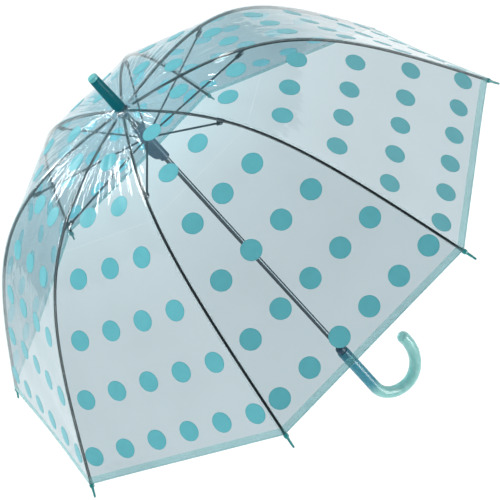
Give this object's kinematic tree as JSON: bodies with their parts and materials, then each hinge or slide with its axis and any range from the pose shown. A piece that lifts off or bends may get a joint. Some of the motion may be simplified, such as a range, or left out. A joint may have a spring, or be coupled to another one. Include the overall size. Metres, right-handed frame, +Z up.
{
  "type": "clear bubble umbrella",
  "caption": "Deep-dome stick umbrella with a clear dotted film canopy on folding ribs, sliding runner, long ferrule and crook handle.",
  "frame": {"origin": "on the shaft axis at the middle of the hand grip, where a hand holds the umbrella", "axes": "+Z up the shaft towards the ferrule, +X towards the open side of the crook, +Y completes the right hand"},
  "size_m": [0.797, 0.797, 0.7694],
  "materials": {
    "clear_film": "clear glossy film with opaque turquoise dots",
    "rib_steel": "satin black",
    "stretcher_steel": "satin slate",
    "shaft_steel": "gloss dark slate",
    "slate_plastic": "satin",
    "dark_teal_plastic": "gloss",
    "pale_teal_plastic": "gloss",
    "tip_plastic": "gloss",
    "handle_plastic": "translucent gloss",
    "spring_steel": "bright"
  },
  "bodies": {
    "shaft": {"shaft_tube": "shaft_steel", "ferrule": "dark_teal_plastic", "ferrule_cap": "pale_teal_plastic", "canopy_washer": "pale_teal_plastic", "crown": "slate_plastic", "crown_wire": "spring_steel", "runner_stop": "shaft_steel", "handle": "handle_plastic", "handle_collar": "slate_plastic"},
    "runner": {"runner": "slate_plastic"},
    "top_catch": {"top_spring": "spring_steel"},
    "bottom_catch": {"bottom_spring": "spring_steel"},
    "rib_1": {"rib_inner_1": "rib_steel"},
    "rib_end_1": {"rib_outer_1": "rib_steel", "rib_tip_1": "tip_plastic"},
    "stretcher_1": {"stretcher_1": "stretcher_steel"},
    "gore_1": {"gore_inner_1": "clear_film"},
    "gore_skirt_1": {"gore_outer_1": "clear_film"},
    "rib_2": {"rib_inner_2": "rib_steel"},
    "rib_end_2": {"rib_outer_2": "rib_steel", "rib_tip_2": "tip_plastic"},
    "stretcher_2": {"stretcher_2": "stretcher_steel"},
    "gore_2": {"gore_inner_2": "clear_film"},
    "gore_skirt_2": {"gore_outer_2": "clear_film"},
    "rib_3": {"rib_inner_3": "rib_steel"},
    "rib_end_3": {"rib_outer_3": "rib_steel", "rib_tip_3": "tip_plastic"},
    "stretcher_3": {"stretcher_3": "stretcher_steel"},
    "gore_3": {"gore_inner_3": "clear_film"},
    "gore_skirt_3": {"gore_outer_3": "clear_film"},
    "rib_4": {"rib_inner_4": "rib_steel"},
    "rib_end_4": {"rib_outer_4": "rib_steel", "rib_tip_4": "tip_plastic"},
    "stretcher_4": {"stretcher_4": "stretcher_steel"},
    "gore_4": {"gore_inner_4": "clear_film"},
    "gore_skirt_4": {"gore_outer_4": "clear_film"},
    "rib_5": {"rib_inner_5": "rib_steel"},
    "rib_end_5": {"rib_outer_5": "rib_steel", "rib_tip_5": "tip_plastic"},
    "stretcher_5": {"stretcher_5": "stretcher_steel"},
    "gore_5": {"gore_inner_5": "clear_film"},
    "gore_skirt_5": {"gore_outer_5": "clear_film"},
    "rib_6": {"rib_inner_6": "rib_steel"},
    "rib_end_6": {"rib_outer_6": "rib_steel", "rib_tip_6": "tip_plastic"},
    "stretcher_6": {"stretcher_6": "stretcher_steel"},
    "gore_6": {"gore_inner_6": "clear_film"},
    "gore_skirt_6": {"gore_outer_6": "clear_film"},
    "rib_7": {"rib_inner_7": "rib_steel"},
    "rib_end_7": {"rib_outer_7": "rib_steel", "rib_tip_7": "tip_plastic"},
    "stretcher_7": {"stretcher_7": "stretcher_steel"},
    "gore_7": {"gore_inner_7": "clear_film"},
    "gore_skirt_7": {"gore_outer_7": "clear_film"},
    "rib_8": {"rib_inner_8": "rib_steel"},
    "rib_end_8": {"rib_outer_8": "rib_steel", "rib_tip_8": "tip_plastic"},
    "stretcher_8": {"stretcher_8": "stretcher_steel"},
    "gore_8": {"gore_inner_8": "clear_film"},
    "gore_skirt_8": {"gore_outer_8": "clear_film"}
  },
  "joints": [
    {"name": "runner_slide", "type": "slide", "parent": "shaft", "child": "runner", "axis": [0, 0, -1], "range_m": [0, 0.2844]},
    {"name": "rib_1_fold", "type": "hinge", "parent": "shaft", "child": "rib_1", "pos_m": [0.00739, 0.00306, 0.605], "axis": [-0.3827, 0.9239, 0], "range_deg": [0, 72.58]},
    {"name": "rib_1_bend", "type": "hinge", "parent": "rib_1", "child": "rib_end_1", "pos_m": [0.20008, 0.08288, 0.56243], "axis": [0.3827, -0.9239, 0], "range_deg": [0, 32.71]},
    {"name": "stretcher_1_pivot", "type": "hinge", "parent": "rib_1", "child": "stretcher_1", "pos_m": [0.16463, 0.06819, 0.57444], "axis": [0.3827, -0.9239, 0], "range_deg": [0, 148.42]},
    {"name": "gore_1_fold", "type": "hinge", "parent": "shaft", "child": "gore_1", "pos_m": [0.01155, 0, 0.6079], "axis": [0, 1, 0], "range_deg": [0, 71.7], "deforming": ["gore_inner_1"]},
    {"name": "gore_1_bend", "type": "hinge", "parent": "gore_1", "child": "gore_skirt_1", "pos_m": [0.20135, 0, 0.56499], "axis": [0, -1, 0], "range_deg": [0, 34], "deforming": ["gore_outer_1"]},
    {"name": "rib_2_fold", "type": "hinge", "parent": "shaft", "child": "rib_2", "pos_m": [0.00306, 0.00739, 0.605], "axis": [-0.9239, 0.3827, 0], "range_deg": [0, 72.58]},
    {"name": "rib_2_bend", "type": "hinge", "parent": "rib_2", "child": "rib_end_2", "pos_m": [0.08288, 0.20008, 0.56243], "axis": [0.9239, -0.3827, 0], "range_deg": [0, 32.71]},
    {"name": "stretcher_2_pivot", "type": "hinge", "parent": "rib_2", "child": "stretcher_2", "pos_m": [0.06819, 0.16463, 0.57444], "axis": [0.9239, -0.3827, 0], "range_deg": [0, 148.42]},
    {"name": "gore_2_fold", "type": "hinge", "parent": "shaft", "child": "gore_2", "pos_m": [0.00817, 0.00817, 0.6079], "axis": [-0.7071, 0.7071, 0], "range_deg": [0, 71.7], "deforming": ["gore_inner_2"]},
    {"name": "gore_2_bend", "type": "hinge", "parent": "gore_2", "child": "gore_skirt_2", "pos_m": [0.14237, 0.14237, 0.56499], "axis": [0.7071, -0.7071, 0], "range_deg": [0, 34], "deforming": ["gore_outer_2"]},
    {"name": "rib_3_fold", "type": "hinge", "parent": "shaft", "child": "rib_3", "pos_m": [-0.00306, 0.00739, 0.605], "axis": [-0.9239, -0.3827, 0], "range_deg": [0, 72.58]},
    {"name": "rib_3_bend", "type": "hinge", "parent": "rib_3", "child": "rib_end_3", "pos_m": [-0.08288, 0.20008, 0.56243], "axis": [0.9239, 0.3827, 0], "range_deg": [0, 32.71]},
    {"name": "stretcher_3_pivot", "type": "hinge", "parent": "rib_3", "child": "stretcher_3", "pos_m": [-0.06819, 0.16463, 0.57444], "axis": [0.9239, 0.3827, 0], "range_deg": [0, 148.42]},
    {"name": "gore_3_fold", "type": "hinge", "parent": "shaft", "child": "gore_3", "pos_m": [0, 0.01155, 0.6079], "axis": [-1, 0, 0], "range_deg": [0, 71.7], "deforming": ["gore_inner_3"]},
    {"name": "gore_3_bend", "type": "hinge", "parent": "gore_3", "child": "gore_skirt_3", "pos_m": [0, 0.20135, 0.56499], "axis": [1, 0, 0], "range_deg": [0, 34], "deforming": ["gore_outer_3"]},
    {"name": "rib_4_fold", "type": "hinge", "parent": "shaft", "child": "rib_4", "pos_m": [-0.00739, 0.00306, 0.605], "axis": [-0.3827, -0.9239, 0], "range_deg": [0, 72.58]},
    {"name": "rib_4_bend", "type": "hinge", "parent": "rib_4", "child": "rib_end_4", "pos_m": [-0.20008, 0.08288, 0.56243], "axis": [0.3827, 0.9239, 0], "range_deg": [0, 32.71]},
    {"name": "stretcher_4_pivot", "type": "hinge", "parent": "rib_4", "child": "stretcher_4", "pos_m": [-0.16463, 0.06819, 0.57444], "axis": [0.3827, 0.9239, 0], "range_deg": [0, 148.42]},
    {"name": "gore_4_fold", "type": "hinge", "parent": "shaft", "child": "gore_4", "pos_m": [-0.00817, 0.00817, 0.6079], "axis": [-0.7071, -0.7071, 0], "range_deg": [0, 71.7], "deforming": ["gore_inner_4"]},
    {"name": "gore_4_bend", "type": "hinge", "parent": "gore_4", "child": "gore_skirt_4", "pos_m": [-0.14237, 0.14237, 0.56499], "axis": [0.7071, 0.7071, 0], "range_deg": [0, 34], "deforming": ["gore_outer_4"]},
    {"name": "rib_5_fold", "type": "hinge", "parent": "shaft", "child": "rib_5", "pos_m": [-0.00739, -0.00306, 0.605], "axis": [0.3827, -0.9239, 0], "range_deg": [0, 72.58]},
    {"name": "rib_5_bend", "type": "hinge", "parent": "rib_5", "child": "rib_end_5", "pos_m": [-0.20008, -0.08288, 0.56243], "axis": [-0.3827, 0.9239, 0], "range_deg": [0, 32.71]},
    {"name": "stretcher_5_pivot", "type": "hinge", "parent": "rib_5", "child": "stretcher_5", "pos_m": [-0.16463, -0.06819, 0.57444], "axis": [-0.3827, 0.9239, 0], "range_deg": [0, 148.42]},
    {"name": "gore_5_fold", "type": "hinge", "parent": "shaft", "child": "gore_5", "pos_m": [-0.01155, 0, 0.6079], "axis": [0, -1, 0], "range_deg": [0, 71.7], "deforming": ["gore_inner_5"]},
    {"name": "gore_5_bend", "type": "hinge", "parent": "gore_5", "child": "gore_skirt_5", "pos_m": [-0.20135, 0, 0.56499], "axis": [0, 1, 0], "range_deg": [0, 34], "deforming": ["gore_outer_5"]},
    {"name": "rib_6_fold", "type": "hinge", "parent": "shaft", "child": "rib_6", "pos_m": [-0.00306, -0.00739, 0.605], "axis": [0.9239, -0.3827, 0], "range_deg": [0, 72.58]},
    {"name": "rib_6_bend", "type": "hinge", "parent": "rib_6", "child": "rib_end_6", "pos_m": [-0.08288, -0.20008, 0.56243], "axis": [-0.9239, 0.3827, 0], "range_deg": [0, 32.71]},
    {"name": "stretcher_6_pivot", "type": "hinge", "parent": "rib_6", "child": "stretcher_6", "pos_m": [-0.06819, -0.16463, 0.57444], "axis": [-0.9239, 0.3827, 0], "range_deg": [0, 148.42]},
    {"name": "gore_6_fold", "type": "hinge", "parent": "shaft", "child": "gore_6", "pos_m": [-0.00817, -0.00817, 0.6079], "axis": [0.7071, -0.7071, 0], "range_deg": [0, 71.7], "deforming": ["gore_inner_6"]},
    {"name": "gore_6_bend", "type": "hinge", "parent": "gore_6", "child": "gore_skirt_6", "pos_m": [-0.14237, -0.14237, 0.56499], "axis": [-0.7071, 0.7071, 0], "range_deg": [0, 34], "deforming": ["gore_outer_6"]},
    {"name": "rib_7_fold", "type": "hinge", "parent": "shaft", "child": "rib_7", "pos_m": [0.00306, -0.00739, 0.605], "axis": [0.9239, 0.3827, 0], "range_deg": [0, 72.58]},
    {"name": "rib_7_bend", "type": "hinge", "parent": "rib_7", "child": "rib_end_7", "pos_m": [0.08288, -0.20008, 0.56243], "axis": [-0.9239, -0.3827, 0], "range_deg": [0, 32.71]},
    {"name": "stretcher_7_pivot", "type": "hinge", "parent": "rib_7", "child": "stretcher_7", "pos_m": [0.06819, -0.16463, 0.57444], "axis": [-0.9239, -0.3827, 0], "range_deg": [0, 148.42]},
    {"name": "gore_7_fold", "type": "hinge", "parent": "shaft", "child": "gore_7", "pos_m": [0, -0.01155, 0.6079], "axis": [1, 0, 0], "range_deg": [0, 71.7], "deforming": ["gore_inner_7"]},
    {"name": "gore_7_bend", "type": "hinge", "parent": "gore_7", "child": "gore_skirt_7", "pos_m": [0, -0.20135, 0.56499], "axis": [-1, 0, 0], "range_deg": [0, 34], "deforming": ["gore_outer_7"]},
    {"name": "rib_8_fold", "type": "hinge", "parent": "shaft", "child": "rib_8", "pos_m": [0.00739, -0.00306, 0.605], "axis": [0.3827, 0.9239, 0], "range_deg": [0, 72.58]},
    {"name": "rib_8_bend", "type": "hinge", "parent": "rib_8", "child": "rib_end_8", "pos_m": [0.20008, -0.08288, 0.56243], "axis": [-0.3827, -0.9239, 0], "range_deg": [0, 32.71]},
    {"name": "stretcher_8_pivot", "type": "hinge", "parent": "rib_8", "child": "stretcher_8", "pos_m": [0.16463, -0.06819, 0.57444], "axis": [-0.3827, -0.9239, 0], "range_deg": [0, 148.42]},
    {"name": "gore_8_fold", "type": "hinge", "parent": "shaft", "child": "gore_8", "pos_m": [0.00817, -0.00817, 0.6079], "axis": [0.7071, 0.7071, 0], "range_deg": [0, 71.7], "deforming": ["gore_inner_8"]},
    {"name": "gore_8_bend", "type": "hinge", "parent": "gore_8", "child": "gore_skirt_8", "pos_m": [0.14237, -0.14237, 0.56499], "axis": [-0.7071, -0.7071, 0], "range_deg": [0, 34], "deforming": ["gore_outer_8"]},
    {"name": "top_catch_press", "type": "slide", "parent": "shaft", "child": "top_catch", "axis": [0, -1, 0], "range_m": [0, 0.0019], "stiffness_N_per_m": 400, "springref_m": -0.002},
    {"name": "bottom_catch_press", "type": "slide", "parent": "shaft", "child": "bottom_catch", "axis": [0, -1, 0], "range_m": [0, 0.0019], "stiffness_N_per_m": 400, "springref_m": -0.002}
  ],
  "couplings": [
    {"joint": "rib_1_fold", "follows": "runner_slide", "rad_per_m": 4.4512},
    {"joint": "rib_1_bend", "follows": "runner_slide", "rad_per_m": 2.0044},
    {"joint": "stretcher_1_pivot", "follows": "runner_slide", "rad_per_m": 9.1052},
    {"joint": "gore_1_fold", "follows": "runner_slide", "rad_per_m": 4.3969},
    {"joint": "gore_1_bend", "follows": "runner_slide", "rad_per_m": 2.0833},
    {"joint": "rib_2_fold", "follows": "runner_slide", "rad_per_m": 4.4512},
    {"joint": "rib_2_bend", "follows": "runner_slide", "rad_per_m": 2.0044},
    {"joint": "stretcher_2_pivot", "follows": "runner_slide", "rad_per_m": 9.1052},
    {"joint": "gore_2_fold", "follows": "runner_slide", "rad_per_m": 4.3969},
    {"joint": "gore_2_bend", "follows": "runner_slide", "rad_per_m": 2.0833},
    {"joint": "rib_3_fold", "follows": "runner_slide", "rad_per_m": 4.4512},
    {"joint": "rib_3_bend", "follows": "runner_slide", "rad_per_m": 2.0044},
    {"joint": "stretcher_3_pivot", "follows": "runner_slide", "rad_per_m": 9.1052},
    {"joint": "gore_3_fold", "follows": "runner_slide", "rad_per_m": 4.3969},
    {"joint": "gore_3_bend", "follows": "runner_slide", "rad_per_m": 2.0833},
    {"joint": "rib_4_fold", "follows": "runner_slide", "rad_per_m": 4.4512},
    {"joint": "rib_4_bend", "follows": "runner_slide", "rad_per_m": 2.0044},
    {"joint": "stretcher_4_pivot", "follows": "runner_slide", "rad_per_m": 9.1052},
    {"joint": "gore_4_fold", "follows": "runner_slide", "rad_per_m": 4.3969},
    {"joint": "gore_4_bend", "follows": "runner_slide", "rad_per_m": 2.0833},
    {"joint": "rib_5_fold", "follows": "runner_slide", "rad_per_m": 4.4512},
    {"joint": "rib_5_bend", "follows": "runner_slide", "rad_per_m": 2.0044},
    {"joint": "stretcher_5_pivot", "follows": "runner_slide", "rad_per_m": 9.1052},
    {"joint": "gore_5_fold", "follows": "runner_slide", "rad_per_m": 4.3969},
    {"joint": "gore_5_bend", "follows": "runner_slide", "rad_per_m": 2.0833},
    {"joint": "rib_6_fold", "follows": "runner_slide", "rad_per_m": 4.4512},
    {"joint": "rib_6_bend", "follows": "runner_slide", "rad_per_m": 2.0044},
    {"joint": "stretcher_6_pivot", "follows": "runner_slide", "rad_per_m": 9.1052},
    {"joint": "gore_6_fold", "follows": "runner_slide", "rad_per_m": 4.3969},
    {"joint": "gore_6_bend", "follows": "runner_slide", "rad_per_m": 2.0833},
    {"joint": "rib_7_fold", "follows": "runner_slide", "rad_per_m": 4.4512},
    {"joint": "rib_7_bend", "follows": "runner_slide", "rad_per_m": 2.0044},
    {"joint": "stretcher_7_pivot", "follows": "runner_slide", "rad_per_m": 9.1052},
    {"joint": "gore_7_fold", "follows": "runner_slide", "rad_per_m": 4.3969},
    {"joint": "gore_7_bend", "follows": "runner_slide", "rad_per_m": 2.0833},
    {"joint": "rib_8_fold", "follows": "runner_slide", "rad_per_m": 4.4512},
    {"joint": "rib_8_bend", "follows": "runner_slide", "rad_per_m": 2.0044},
    {"joint": "stretcher_8_pivot", "follows": "runner_slide", "rad_per_m": 9.1052},
    {"joint": "gore_8_fold", "follows": "runner_slide", "rad_per_m": 4.3969},
    {"joint": "gore_8_bend", "follows": "runner_slide", "rad_per_m": 2.0833}
  ]
}
